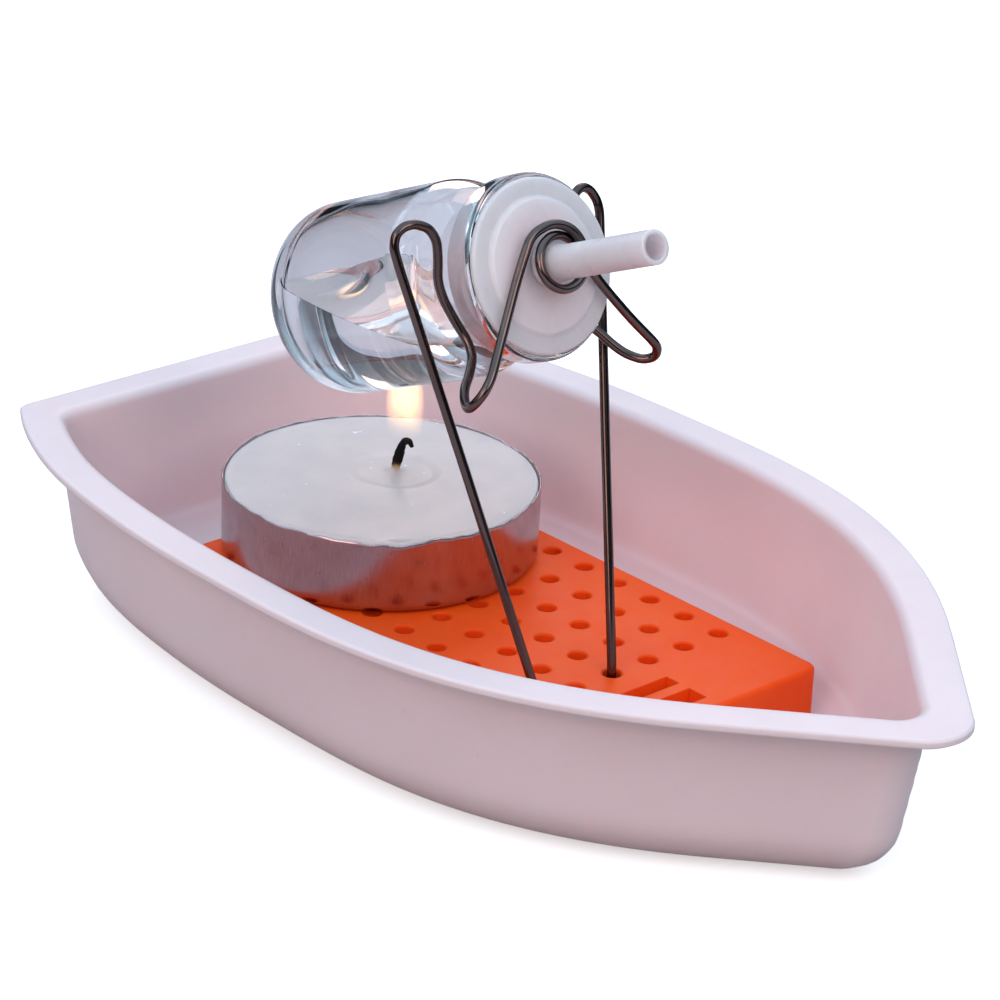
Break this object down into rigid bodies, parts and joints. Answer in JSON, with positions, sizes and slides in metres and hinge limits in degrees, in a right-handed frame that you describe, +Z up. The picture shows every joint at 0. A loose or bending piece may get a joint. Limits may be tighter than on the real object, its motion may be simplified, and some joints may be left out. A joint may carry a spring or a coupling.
{
  "type": "candle steam boat model",
  "caption": "Toy steam boat: moulded bowl hull, perforated deck block, tealight, and a glass vial boiler with a jet nozzle held in a bent wire stand.",
  "frame": {"origin": "bottom centre of the whole object's bounding box, on the hull's flat bottom", "axes": "+X toward the bow, +Z up, Y across the hull"},
  "size_m": [0.1245, 0.0728, 0.0633],
  "materials": {
    "hull": "satin white sheet",
    "base_block": "satin orange moulding",
    "wire_stand": "drawn spring wire",
    "vial": "clear",
    "water": "clear liquid",
    "stopper": "translucent silicone",
    "nozzle_tube": "translucent tube",
    "candle_cup": "thin drawn sheet",
    "candle_wax": "wax",
    "candle_wick": "charred cotton",
    "wick_sustainer": "tinned"
  },
  "bodies": {
    "hull": {"hull": "hull"},
    "tray": {"base_block": "base_block"},
    "stand": {"wire_stand": "wire_stand", "water": "water"},
    "boiler": {"vial": "vial", "stopper": "stopper"},
    "jet": {"nozzle_tube": "nozzle_tube"},
    "candle": {"candle_cup": "candle_cup", "candle_wax": "candle_wax", "candle_wick": "candle_wick", "wick_sustainer": "wick_sustainer"}
  },
  "joints": [
    {"name": "tray_lift", "type": "slide", "parent": "hull", "child": "tray", "axis": [0, 0, 1], "range_m": [0, 0.045]},
    {"name": "stand_lift", "type": "slide", "parent": "tray", "child": "stand", "axis": [0, 0, 1], "range_m": [0, 0.03]},
    {"name": "vial_spin", "type": "hinge", "parent": "stand", "child": "boiler", "pos_m": [0.0054, -0.0055, 0.05472], "axis": [0.9205, 0, 0.3907], "continuous": true},
    {"name": "nozzle_pull", "type": "slide", "parent": "boiler", "child": "jet", "axis": [0.9205, 0, 0.3907], "range_m": [0, 0.012]},
    {"name": "candle_slide", "type": "slide", "parent": "tray", "child": "candle", "axis": [1, 0, 0], "range_m": [-0.008, 0.012]}
  ]
}
